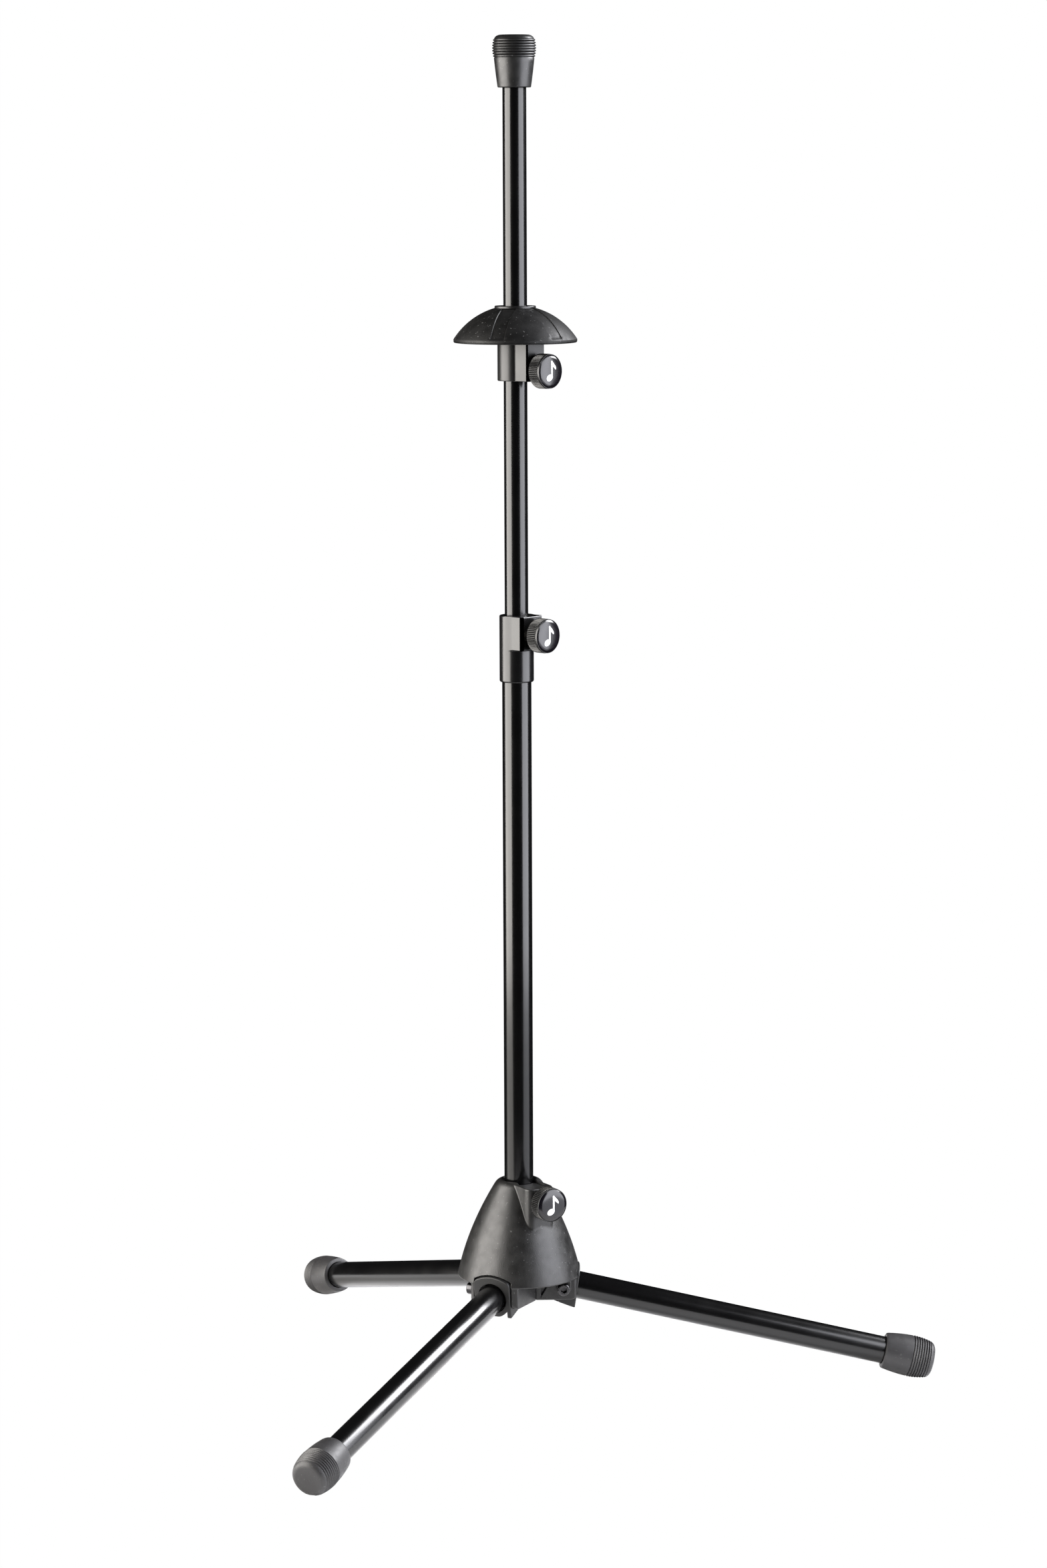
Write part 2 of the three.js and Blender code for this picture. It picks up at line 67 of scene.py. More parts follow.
RIM_R, RIM_Z = 42.8, 78
NECK_R, NECK_Z = 16, 143.7
HUB_TOP, HUB_WALL, HUB_CEILING = 145.8, 3, 112
HUB_BOW = 3.3
HUB_SLEEVE_R, HUB_SOCKET_R, HUB_SOCKET_LOW, HUB_SOCKET_TOP = 14.5, 12.6, 66, 84
HUB_CLAMP_TURN, ROD_CLAMP_TURN = -60, -45  # degrees round the rod
BOSS_HALF, BOSS_FACE, BOSS_TOP, BOSS_LOW = 10.7, 30, 144.6, 108
SHOE_HALF, SHOE_LOW, SHOE_TOP, SHOE_BACK = 7.3, 127, 144.2, 20.5
LUG_IN, LUG_SCREW_SIDE, LUG_NUT_SIDE, LUG_PAD = 14.3, 17.6, 18.8, 19.1
LUG_FROM, LUG_TO, LUG_LOW, LUG_CORNER, LUG_PAD_R = 10.5, 40, 63, 5, 5.1
WINDOW_FROM, WINDOW_LOW, WINDOW_TOP, WINDOW_WEB = 14.5, 66, 80, 0.8
WINDOW_RISE, WINDOW_SLANT = 1.687, 1.96  # its long side: the rise for each mm out, and the way up it
HEAD_HALF, HEAD_SHOULDER, HEAD_CROWN, HEAD_HEEL = 13.9, 11.5, 15.5, -13.3
HEAD_END_TOP, HEAD_END_HEEL = 9, 11.4
HEAD_BACK_R, HEAD_BELLY_R, HEAD_CHEEK = 11.6, 13.8, 3
NOTCH_GAP = 0.6

COLLAR_R, COLLAR_BLOCK_Z, COLLAR_HALF, COLLAR_FACE = 11.7, 515.8, 11, 15.2
SLEEVE_R, SLEEVE_LIP_R, SLEEVE_LIP, SLEEVE_HALF, SLEEVE_FACE = 12.15, 13.95, 2, 8.95, 19
SLEEVE_BLOCK_TOP = 734.5
DOME_CENTRE_Z, DOME_SPHERE_R, DOME_SHELL, DOME_R, DOME_NECK_R = 699.3, 49.6, 3, 41.8, 15.5
DOME_BAND_WIDTH, DOME_BAND_DEPTH, DOME_BANDS, DOME_BAND_TURN = 9.3, 0.5, 6, -49.3

KNOB_R, KNOB_LENGTH, KNOB_CAP_R, KNOB_NECK_R = 11.75, 11.2, 11, 4.8
KNOB_CROWN, KNOB_RECESS, KNURLS, KNURL_DEPTH = 1.2, 1.8, 58, 0.95
KNOB_FACES = {"hub": 44.6, "collar": 30.5, "bell": 33.2}  # out from the rod's axis, as the next two
STUD_TIPS = {"hub": SHOE_BACK - 3.2, "collar": 10.5, "bell": 11.8}
BLOCK_FACES = {"hub": BOSS_FACE, "collar": COLLAR_FACE, "bell": SLEEVE_FACE}
STUD_R, STUD_BORE_FROM, SEAT_R = 3, 5, 5.3  # a clamp screw, its bore, and its insert's seat
COLLAR_SEAT, SLEEVE_SEAT = 10.7, 12.7
SCREW_R, SCREW_HEAD_R, SCREW_HEAD, SOCKET_HALF, SOCKET_DEPTH = 2.5, 4.25, 4.5, 2, 2.6
RINGS, RING_PITCH = 7, 1.75  # round each rubber cap
GAP = 0.3

# the photograph's viewpoint, from the rod's foot, in degrees, metres and millimetres of lens
CAMERA_TURN, CAMERA_DISTANCE, CAMERA_HEIGHT = -1.96, 2.837, 0.842
CAMERA_TILT, CAMERA_PAN, CAMERA_ROLL, CAMERA_LENS = 8.41, 0.087, -0.229, 96.1

# the stage, in mm
FLOOR_R, FLOOR_LOW, FLOOR_TOP, BACKDROP_R = 360, -20.0, -0.3, 14000

rod_low, rod_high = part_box("mast_tube")
ROD = Matrix.Translation(((rod_low.x + rod_high.x) / 2, (rod_low.y + rod_high.y) / 2, 0))


def height(node):
    """Lowest and highest point of a CAD node, in mm above the floor."""
    low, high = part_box(node)
    return low.z / MM, high.z / MM


def leg_place(name):
    """From the upright and the sloping frame of a leg to the stand's, out of its joint."""
    joint = JOINTS[f"leg_{name}_fold"]
    turn = math.atan2(-joint["axis"][0], joint["axis"][1])
    place = Matrix.Translation(joint["pos_m"]) @ Matrix.Rotation(turn, 4, "Z")
    return place, place @ Matrix.Rotation(LEG_SLOPE, 4, "Y")


def clamp_place(name):
    """From a clamp's frame to the stand's, out of its joint."""
    joint = JOINTS[f"{name}_knob_turn"]
    turn = math.atan2(joint["axis"][1], joint["axis"][0])
    return Matrix.Translation(joint["pos_m"]) @ Matrix.Rotation(turn, 4, "Z")


# ---- materials ----
def material(name, colour, roughness, metallic=0.0, gloss=0.5):
    """A plain material, with its node tree and its shader."""
    made = bpy.data.materials.new(name)
    made.use_nodes = True
    shader = made.node_tree.nodes["Principled BSDF"]
    shader.inputs["Base Color"].default_value = (*colour, 1)
    shader.inputs["Roughness"].default_value = roughness
    shader.inputs["Metallic"].default_value = metallic
    shader.inputs["Specular IOR Level"].default_value = gloss
    return made, made.node_tree, shader


def noise(tree, scale, detail=3.0, stretch=(1, 1, 1)):
    """Noise in the object's own coordinates; scale is per metre."""
    place = tree.nodes.new("ShaderNodeTexCoord")
    mapping = tree.nodes.new("ShaderNodeMapping")
    mapping.inputs["Scale"].default_value = stretch
    made = tree.nodes.new("ShaderNodeTexNoise")
    made.inputs["Scale"].default_value = scale
    made.inputs["Detail"].default_value = detail
    tree.links.new(place.outputs["Object"], mapping.inputs["Vector"])
    tree.links.new(mapping.outputs["Vector"], made.inputs["Vector"])
    return made.outputs["Fac"]


def ramp(tree, value, stops):
    """Maps a value through (position, colour) stops."""
    made = tree.nodes.new("ShaderNodeValToRGB")
    tree.links.new(value, made.inputs["Fac"])
    elements = made.color_ramp.elements
    while len(elements) < len(stops):
        elements.new(0.5)
    for element, (position, colour) in zip(elements, stops):
        element.position = position
        element.color = (*colour, 1)
    return made.outputs["Color"]


def grey(level):
    return (level, level, level)


def bump(tree, shader, value, strength, distance):
    """Bumps the shader with a noise; distance is in metres."""
    made = tree.nodes.new("ShaderNodeBump")
    made.inputs["Strength"].default_value = strength
    made.inputs["Distance"].default_value = distance
    tree.links.new(value, made.inputs["Height"])
    tree.links.new(made.outputs["Normal"], shader.inputs["Normal"])


def varied(tree, shader, socket, value, low, high):
    """A socket that wanders between two greys or colours, following a noise."""
    tree.links.new(ramp(tree, value, [(0.3, low), (0.7, high)]), shader.inputs[socket])


def paint(name, colour, low, high, peel=0.02):
    """Powder coat: near black, with a faint orange peel."""
    made, tree, shader = material(name, colour, (low + high) / 2)
    varied(tree, shader, "Roughness", noise(tree, 60), grey(low), grey(high))
    bump(tree, shader, noise(tree, 900, 2), peel, 0.0003)
    return made


def moulded(name, dark, light, roughness, grain, strength, specks=0.0, gloss=0.5):
    """Moulded plastic or rubber: mottled colour, a grain, and sometimes pale dust specks."""
    made, tree, shader = material(name, dark, roughness, gloss=gloss)
    colour = ramp(tree, noise(tree, 45, 4), [(0.3, dark), (0.7, light)])
    if specks:
        dust = ramp(tree, noise(tree, 620, 1), [(0.70, grey(0)), (0.76, grey(1))])
        mix = tree.nodes.new("ShaderNodeMix")
        mix.data_type = "RGBA"
        mix.inputs["B"].default_value = (*grey(specks), 1)
        tree.links.new(dust, mix.inputs["Factor"])
        tree.links.new(colour, mix.inputs["A"])
        colour = mix.outputs["Result"]
    tree.links.new(colour, shader.inputs["Base Color"])
    rough = noise(tree, 160, 3)
    varied(tree, shader, "Roughness", rough, grey(roughness - 0.07), grey(roughness + 0.07))
    bump(tree, shader, noise(tree, grain, 4), strength, 0.0004)
    return made


def plated(name, colour, roughness):
    """Zinc or brass: metal with fine turning marks."""
    made, tree, shader = material(name, colour, roughness, metallic=1.0)
    varied(tree, shader, "Roughness", noise(tree, 300, 3), grey(roughness - 0.08), grey(roughness + 0.1))
    bump(tree, shader, noise(tree, 1500, 2, (1, 1, 4)), 0.1, 0.0002)
    return made


GLOSS_PAINT = paint("gloss_paint", (0.0015, 0.0015, 0.0016), 0.17, 0.21)
LEG_PAINT = paint("leg_paint", (0.0015, 0.0015, 0.0016), 0.20, 0.25, 0.01)
SATIN_PAINT = paint("satin_paint", (0.003, 0.003, 0.0032), 0.21, 0.27, 0.03)
SLEEVE_PAINT = paint("sleeve_paint", (0.003, 0.003, 0.003), 0.32, 0.38, 0.04)
HUB_PLASTIC = moulded("hub_plastic", grey(0.0055), (0.0115, 0.0112, 0.0108), 0.39, 1500, 0.16, 0.06, 0.45)
JOINT_PLASTIC = moulded("joint_plastic", grey(0.008), grey(0.013), 0.42, 1400, 0.08, gloss=0.35)
GREY_RUBBER = moulded(
    "grey_rubber", (0.0165, 0.016, 0.0168), (0.024, 0.0235, 0.0245), 0.48, 1100, 0.1, 0.05
)
TOP_RUBBER = moulded("top_rubber", grey(0.006), grey(0.010), 0.38, 1100, 0.1, 0.06)
DOME_RUBBER = moulded("dome_rubber", grey(0.0025), grey(0.005), 0.52, 1300, 0.08, 0.07, 0.25)
KNOB_PLASTIC = moulded("knob_plastic", grey(0.004), grey(0.007), 0.34, 900, 0.05)
CAP_PLASTIC = paint("cap_plastic", (0.0035, 0.003, 0.0045), 0.16, 0.22, 0.01)
WHITE_PRINT = moulded("white_print", (0.80, 0.80, 0.79), (0.86, 0.86, 0.85), 0.5, 900, 0.05)
ZINC = plated("zinc_steel", (0.34, 0.33, 0.31), 0.34)
BLACK_STEEL = plated("black_steel", (0.055, 0.054, 0.056), 0.26)
BRASS = plated("brass", (0.55, 0.40, 0.18), 0.35)
NYLON = moulded("nylon", (0.56, 0.55, 0.51), (0.64, 0.63, 0.59), 0.5, 700, 0.1)


# ---- meshes ----
def make(name, points, faces, place, look, normals=None):
    """An object from points in mm, placed by a matrix in metres."""
    mesh = bpy.data.meshes.new(name)
    mesh.from_pydata([place @ (Vector(p) * MM) for p in np.asarray(points, float).tolist()], [], faces)
    mesh.update()
    mesh.shade_smooth()
    if normals is None:
        mesh.set_sharp_from_angle(angle=math.radians(40))
    else:
        turn = place.to_3x3()
        turned_normals = [(turn @ Vector(n)).normalized() for n in normals.tolist()]
        mesh.normals_split_custom_set_from_vertices(turned_normals)
    made = bpy.data.objects.new(name, mesh)
    bpy.context.scene.collection.objects.link(made)
    mesh.materials.append(look)
    return made


def show(piece, body, slot, *nodes):
    """Rides the piece on its body and hides the CAD nodes that it stands for. Its slot is not used."""
    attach(piece, body)
    if nodes:
        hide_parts(*nodes)
    return piece


def eased(points, steps=4):
    """The outline with a corner rounded wherever a point has a third value, its setback in mm."""
    out = [points[0][:2]]
    for before, corner, after in zip(points, points[1:], points[2:]):
        if len(corner) < 3:
            out.append(corner)
            continue
        middle = Vector(corner[:2])
        start = middle + (Vector(before[:2]) - middle).normalized() * corner[2]
        end = middle + (Vector(after[:2]) - middle).normalized() * corner[2]
        for i in range(steps + 1):
            t = i / steps
            out.append(tuple(start.lerp(middle, t).lerp(middle.lerp(end, t), t)))
    return out + [points[-1][:2]]


def bow(start, end, rise, steps):
    """Points from start to end on a shallow curve that stands out to the right of the way."""
    a, b = Vector(start), Vector(end)
    side = Vector((b.y - a.y, a.x - b.x)).normalized()
    ways = [i / steps for i in range(steps + 1)]
    return [tuple(a.lerp(b, t) + side * 4 * rise * t * (1 - t)) for t in ways]


def turned(profile, count=96, ripple=None):
    """Points and faces of a turned shape about Z. The profile holds (radius, height), outwards first,
    then up; it starts and ends on the axis, or it closes on itself. ripple(angle, j) changes a radius."""
    closed = profile[0] == profile[-1]
    rows = profile[:-1] if closed else profile
    points, first = [], []
    for j, (radius, z) in enumerate(rows):
        first.append(len(points))
        if radius < 1e-6:
            points.append((0, 0, z))
            continue
        for i in range(count):
            angle = 2 * math.pi * i / count
            r = radius + (ripple(angle, j) if ripple else 0)
            points.append((r * math.cos(angle), r * math.sin(angle), z))
    faces = []
    for j in range(len(rows) if closed else len(rows) - 1):
        k = (j + 1) % len(rows)
        for i in range(count):
            n = (i + 1) % count
            low = [first[j]] if rows[j][0] < 1e-6 else [first[j] + i, first[j] + n]
            high = [first[k]] if rows[k][0] < 1e-6 else [first[k] + n, first[k] + i]
            if len(low) + len(high) > 2:
                faces.append(low + high)
    return points, faces


# these lay a shape that is turned about Z along X or Y
ON_X = Matrix.Rotation(math.pi / 2, 4, "Y")
ON_Y = Matrix.Rotation(-math.pi / 2, 4, "X")


def tube(name, inner, outer, low, high, place, look, edge=0.3):
    """A tube along Z with eased edges."""
    corners = [(inner, low, edge), (outer, low, edge), (outer, high, edge), (inner, high, edge)]
    loop = eased([corners[-1], *corners, corners[0]], 3)[1:-1]
    return make(name, *turned([*loop, loop[0]], 128), place, look)


# ---- solids by distance fields: negative inside, positive outside, in mm ----
def both(a, b, k=0.5):
    """Where a and b are both solid, with the edge between them rounded over k."""
    h = np.clip(k - np.abs(a - b), 0, None) / k
    return np.maximum(a, b) + h * h * k / 4


def either(a, b, k=0.5):
    """Where a or b is solid, with the corner between them filled over k."""
    return -both(-a, -b, k)


def without(a, b, k=0.5):
    """Where a is solid and b isn't."""
    return both(a, -b, k)


def turned_xy(x, y, degrees):
    """Coordinates along and across a direction round the Z axis."""
    c, s = math.cos(math.radians(degrees)), math.sin(math.radians(degrees))
    return x * c + y * s, y * c - x * s


def skin(field, low, high, step):
    """Points, faces and normals of the surface where the field is zero: one point in each grid cell that
    the surface crosses, moved onto it along the slope."""
    axes = [np.arange(l, h + step, step, dtype=np.float32) for l, h in zip(low, high)]
    value = field(*np.meshgrid(*axes, indexing="ij"))
    shape = np.array(value.shape)
    strides = np.array([shape[1] * shape[2], shape[2], 1])
    cells, spots, quads, flips = [], [], [], []
    for axis in range(3):
        u, v = (axis + 1) % 3, (axis + 2) % 3
        a = np.moveaxis(value, axis, 0)[:-1]
        b = np.moveaxis(value, axis, 0)[1:]
        crossed = np.moveaxis((a < 0) != (b < 0), 0, axis)
        index = np.stack(np.nonzero(crossed), 1)
        va = value[tuple(index.T)]
        vb = value[tuple((index + np.eye(3, dtype=int)[axis]).T)]
        spot = index.astype(float)
        spot[:, axis] += va / (va - vb)
        around = []
        for du, dv in ((-1, -1), (0, -1), (0, 0), (-1, 0)):
            cell = index.copy()
            cell[:, u] += du
            cell[:, v] += dv
            around.append(cell @ strides)
            spots.append(spot)
        cells.extend(around)
        quads.append(np.stack(around, 1))
        flips.append(va > 0)
    ids, where, count = np.unique(np.concatenate(cells), return_inverse=True, return_counts=True)
    spots = np.concatenate(spots)
    points = np.stack([np.bincount(where, spots[:, d]) / count for d in range(3)], 1) * step + np.array(low)
    faces = np.searchsorted(ids, np.concatenate(quads))
    flip = np.concatenate(flips)
    faces[flip] = faces[flip][:, ::-1]
    reach = 0.05
    for _ in range(3):
        slope = np.stack([
            field(*(points + np.eye(3)[d] * reach).T) - field(*(points - np.eye(3)[d] * reach).T)
            for d in range(3)
        ], 1) / (2 * reach)
        steep = np.maximum((slope ** 2).sum(1), 0.2)
        move = np.clip(field(*points.T) / steep, -step / 2, step / 2)
        points = points - slope * move[:, None]
    return points, faces.tolist(), slope


def hub_flank(z):
    """The hub's outer radius: a cone that bows out."""
    t = np.clip((z - RIM_Z) / (NECK_Z - RIM_Z), 0, 1.05)
    return RIM_R + (NECK_R - RIM_R) * t + 4 * HUB_BOW * t * (1 - t)


def lug_field(along, across, z, cone):
    """One leg's pair of lugs, with the pad under the screw head and the window beside it."""
    past, below = np.clip(along - LUG_TO + LUG_CORNER, 0, None), np.clip(LUG_LOW + LUG_CORNER - z, 0, None)
    corner = np.hypot(past, below) - LUG_CORNER
    plate = np.maximum(both(corner, LUG_FROM - along, 1), z - HUB_CEILING - 2)
    plate = np.maximum(plate, LUG_LOW - z)
    nut_mid, nut_half = (LUG_IN + LUG_NUT_SIDE) / 2, (LUG_NUT_SIDE - LUG_IN) / 2
    screw_mid, screw_half = (LUG_IN + LUG_SCREW_SIDE) / 2, (LUG_SCREW_SIDE - LUG_IN) / 2
    nut_lug = both(plate, np.abs(across - nut_mid) - nut_half, 0.9)
    screw_lug = both(plate, np.abs(across + screw_mid) - screw_half, 0.9)
    window = np.maximum(np.maximum(WINDOW_FROM - along, z - WINDOW_TOP), across + LUG_IN + WINDOW_WEB)
    sill = ((along - WINDOW_FROM) * WINDOW_RISE - (z - WINDOW_LOW)) / WINDOW_SLANT
    window = np.maximum(window, sill)
    screw_lug = without(screw_lug, window, 0.6)
    pad = np.hypot(along - PIVOT_R, np.clip(z - PIVOT_Z, None, 0)) - LUG_PAD_R
    pad_mid, pad_half = (LUG_IN + LUG_PAD) / 2, (LUG_PAD - LUG_IN) / 2
    pad = np.maximum(both(pad, np.abs(across + pad_mid) - pad_half, 0.7), z - RIM_Z - 4)
    lugs = np.minimum(nut_lug, either(screw_lug, pad, 0.4))
    return both(lugs, cone + 0.6, 0.8)


def head_roof(y):
    """Height of a joint head's arched top over the leg's axis."""
    return HEAD_CROWN - (HEAD_CROWN - HEAD_SHOULDER) * (y / HEAD_HALF) ** 2


def hub_field(x, y, z):
    """The shell with its boss and sleeve, then the lugs, then what the legs, the rod and the clamp need."""
    r = np.hypot(x, y)
    cone = (r - hub_flank(z)) * 0.93
    shell = both(both(cone, z - HUB_TOP, 3.5), RIM_Z - z, 0.9)
    out, side = turned_xy(x, y, HUB_CLAMP_TURN)
    boss = both(both(np.abs(side) - BOSS_HALF, out - BOSS_FACE, 6), z - BOSS_TOP, 1)
    boss = np.maximum(np.maximum(boss, BOSS_LOW + 1 - z), -out)
    body = either(shell, boss, 0.5)
    hollow = both(both(cone + HUB_WALL, HUB_SLEEVE_R - r, 2), z - HUB_CEILING, 3)
    body = without(body, hollow, 0.7)
    wall = both(np.maximum(r - HUB_SLEEVE_R, z - RIM_Z - 2), HUB_SOCKET_LOW - z, 0.6)
    body = either(body, wall, 0.2)
    body = without(body, np.maximum(z - HUB_SOCKET_TOP, r - HUB_SOCKET_R), 0.4)
    crown = math.hypot(HEAD_END_TOP, HEAD_CROWN) + 0.6
    shoulder = math.hypot(HEAD_END_TOP, HEAD_SHOULDER) + 0.6
    for turn in (0, 120, 240):
        along, across = turned_xy(x, y, turn)
        body = either(body, lug_field(along, across, z, cone), 0.8)
    for turn in (0, 120, 240):
        along, across = turned_xy(x, y, turn)
        barrel = crown - (crown - shoulder) * (across / LUG_IN) ** 2
        sweep = np.maximum(np.hypot(along - PIVOT_R, z - PIVOT_Z) - barrel, HUB_SLEEVE_R + 1.3 - along)
        lift = (z - PIVOT_Z) * math.cos(LEG_SLOPE) + (along - PIVOT_R) * math.sin(LEG_SLOPE)
        sweep = both(sweep, lift - head_roof(across) - NOTCH_GAP, 0.4)
        body = without(body, both(sweep, np.abs(across) - LUG_IN, 0.8), 0.5)
        screw = np.hypot(along - PIVOT_R, z - PIVOT_Z) - SCREW_R - GAP
        body = without(body, np.maximum(screw, np.abs(across + 1) - LUG_NUT_SIDE), 0.3)
    bore = np.minimum(r - MAST_R - GAP, (r - MAST_R - 2.2 + (HUB_TOP - z)) * 0.7)
    body = without(body, bore, 0.5)
    pocket = np.maximum(np.abs(side) - SHOE_HALF - 0.4, out - SHOE_BACK - 1.4)
    pocket = np.maximum(pocket, SHOE_LOW - GAP - z)
    body = without(body, np.maximum(pocket, -out), 0.4)
    seat = np.hypot(side, z - JOINTS["hub_knob_turn"]["pos_m"][2] / MM) - SEAT_R
    return without(body, np.maximum(seat, SHOE_BACK - out), 0.4)


def hub():
    reach = RIM_R + 1
    low, high = (-reach, -reach, LUG_LOW - 1), (reach, reach, HUB_TOP + 1)
    points, faces, normals = skin(hub_field, low, high, 0.5)
    show(make("hub_moulding", points, faces, ROD, HUB_PLASTIC, normals), "hub", "hub_plastic", "hub_shell")

    def shoe_field(x, y, z):
        block = both(np.abs(y) - SHOE_HALF, x - SHOE_BACK, 0.8)
        block = both(block, np.maximum(z - SHOE_TOP + 0.7, SHOE_LOW - z), 0.8)
        return without(block, np.minimum(np.hypot(x, y) - MAST_R - 0.4, x), 0.4)

    low, high = (6, -8, SHOE_LOW - 1), (22, 8, SHOE_TOP + 1)
    points, faces, normals = skin(shoe_field, low, high, 0.4)
    place = ROD @ Matrix.Rotation(math.radians(HUB_CLAMP_TURN), 4, "Z")
    piece = make("hub_shoe_block", points, faces, place, JOINT_PLASTIC, normals)
    show(piece, "hub_shoe", "joint_plastic", "hub_clamp_shoe")


# ---- legs ----
def joint_head_field(x, y, z):
    """In the leg's frame: an arched bar, round at its inner end, open at the other for the tube."""
    bar = both(both(np.abs(y) - HEAD_HALF, z - head_roof(y), 2.6), HEAD_HEEL - z, 0.6)
    lean = (HEAD_END_HEEL - HEAD_END_TOP) / (HEAD_CROWN - HEAD_HEEL)
    end = x - HEAD_END_TOP - (HEAD_CROWN - z) * lean
    back = np.where(x < 0, np.minimum(np.hypot(x, z) - HEAD_BACK_R, np.maximum(-3 - x, -z)), -10)
    bar = both(bar, end, 0.9)
    bar = np.maximum(bar, back)
    belly = np.hypot(y, z) - HEAD_BELLY_R
    groove = np.maximum(np.abs(y) - (HEAD_HALF - HEAD_CHEEK), -belly)
    groove = np.maximum(groove, z + 4)
    bar = without(bar, groove, 0.5)
    keel = (-z - 11.3 - np.clip(x + 3, 0, None) * 0.14) * 0.99
    bar = both(bar, keel, 0.6)
    bore = np.maximum(np.hypot(y, z) - LEG_R - GAP, LEG_START - GAP - x)
    mouth = np.maximum(np.hypot(y, z) - LEG_R - 1, HEAD_END_TOP - 1.5 - x)
    bar = without(bar, np.minimum(bore, mouth), 0.5)
    return without(bar, np.hypot(x, z) - SCREW_R - GAP, 0.4)


def ringed(start, depth, crest):
    """Outline of a cap's rings from start on; crest(t) is their radius, as t runs from 0 to 1."""
    outline = []
    for i in range(RINGS):
        z, r = start + i * RING_PITCH, crest(i / (RINGS - 1))
        outline += [(r - depth, z), (r - 0.15, z + 0.4), (r, z + 0.8)]
        outline += [(r - 0.15, z + 1.2), (r - depth, z + 1.6)]
    return outline


def foot_profile():
    """The cap's outline along the leg: smooth near the mouth, then fine rings, then a domed end."""
    inner = LEG_R + GAP
    outline = [(inner, 0.0), (11.4, 0.0), (12.3, 0.5), (12.6, 1.6)]
    outline += bow((12.7, 2.2), (14.35, 18.5), 0.3, 8)
    outline += ringed(19.3, 0.85, lambda t: 14.5 - 1.25 * t ** 2)
    outline += [(12.75, 32.0), (12.2, 33.1), (11.2, 34.2), (9.8, 34.95)]
    outline += [(8.4, FOOT_LENGTH), (0.0, FOOT_LENGTH)]
    bottom = LEG_END - FOOT_MOUTH + GAP
    return [(0.0, bottom), (inner, bottom)] + outline


def legs():
    head = skin(joint_head_field, (-13, -15, -15), (13, 15, 17), 0.35)
    for name in "abc":
        upright, place = leg_place(name)
        body = f"leg_{name}"
        points, faces, normals = head
        piece = make(f"{body}_knuckle", points, faces, place, JOINT_PLASTIC, normals)
        show(piece, body, "joint_plastic", f"{body}_joint_head")
        piece = tube(f"{body}_bar", LEG_R - LEG_WALL, LEG_R, LEG_START, LEG_END, place @ ON_X, LEG_PAINT)
        show(piece, body, "gloss_paint", f"{body}_tube")
        shift = Matrix.Translation((FOOT_MOUTH * MM, 0, 0))
        piece = make(f"{body}_boot", *turned(foot_profile(), 112), place @ shift @ ON_X, GREY_RUBBER)
        for vertex in piece.data.vertices:  # the rubber is flat where it stands on the floor
            vertex.co.z = max(vertex.co.z, 0)
        show(piece, body, "grey_rubber", f"{body}_foot")
        screw(name, upright)


def screw_field(x, y, z):
    """A socket screw along Z, its head at the low end."""
    r = np.hypot(x, y)
    under = -LUG_PAD - GAP
    top = under - SCREW_HEAD
    head = both(both(r - SCREW_HEAD_R, top - z, 1.1), z - under, 0.3)
    flats = [np.abs(x), np.abs(x / 2 + y * 0.866), np.abs(x / 2 - y * 0.866)]
    across = np.maximum.reduce(flats)
    head = without(head, np.maximum(across - SOCKET_HALF, z - top - SOCKET_DEPTH), 0.35)
    shank = both(r - SCREW_R, z - LUG_IN - 3, 0.5)
    return either(head, np.maximum(shank, under - 0.5 - z), 0.3)


SCREW_SKIN = skin(screw_field, (-4.9, -4.9, -25), (4.9, 4.9, 18.4), 0.25)


def screw(name, upright):
    points, faces, normals = SCREW_SKIN
    piece = make(f"leg_{name}_socket_screw", points, faces, upright @ ON_Y, BLACK_STEEL, normals)
    show(piece, "hub", "black_steel", f"leg_{name}_pivot_screw")


# ---- knobs ----
def knob_ring():
    """The knurled rim, turned about Z, from its back at 0 to its front."""
    front, lip = KNOB_LENGTH - KNOB_CROWN, KNOB_CAP_R + GAP
    rows = [(0.0, 0.0), (10.4, 0.0), (KNOB_R - 0.55, 0.5), (KNOB_R, 1.1)]
    rows += [(KNOB_R, 1.1 + i * (front - 2.9) / 4) for i in range(1, 5)]
    rows += [(KNOB_R - 0.4, front - 1.6), (lip + 0.25, front - 0.5), (lip + 0.2, front), (lip, front)]
    rows += [(lip, front - KNOB_RECESS), (0.0, front - KNOB_RECESS)]
    knurled = range(3, 8)  # the rows at the full radius

    def ripple(angle, j):
        if j not in knurled:
            return 0
        phase = (angle * KNURLS / (2 * math.pi)) % 1
        return -KNURL_DEPTH * max(0, (abs(2 * phase - 1) - 0.3) / 0.7)

    return turned(rows, KNURLS * 10, ripple)


def eighth_note():
    """A plain eighth note, about 13 mm high, as strips of point pairs: head, stem and flag."""
    c, s = math.cos(math.radians(24)), math.sin(math.radians(24))  # the oval head leans by 24 degrees
    head = []
    for i in range(17):
        u = 3.0 * math.cos(math.pi * i / 16)
        v = 2.1 * math.sin(math.pi * i / 16) + 0.05
        head.append([(u * c - w * s - 1.9, u * s + w * c - 4.2) for w in (-v, v)])
    stem = [[(0.9, -4.0 + 1.1 * i), (-0.4, -4.0 + 1.1 * i)] for i in range(11)]
    flag = []
    for i in range(12):
        t = i / 11
        x, y = 0.5 + 3.8 * math.sin(1.9 * t), 7.0 - 7.4 * t + 1.6 * t * t
        flag.append([(x, y), (x - 0.3 - 0.9 * math.sin(math.pi * t), y - 2.6 * (1 - t))])
    return head, stem, flag


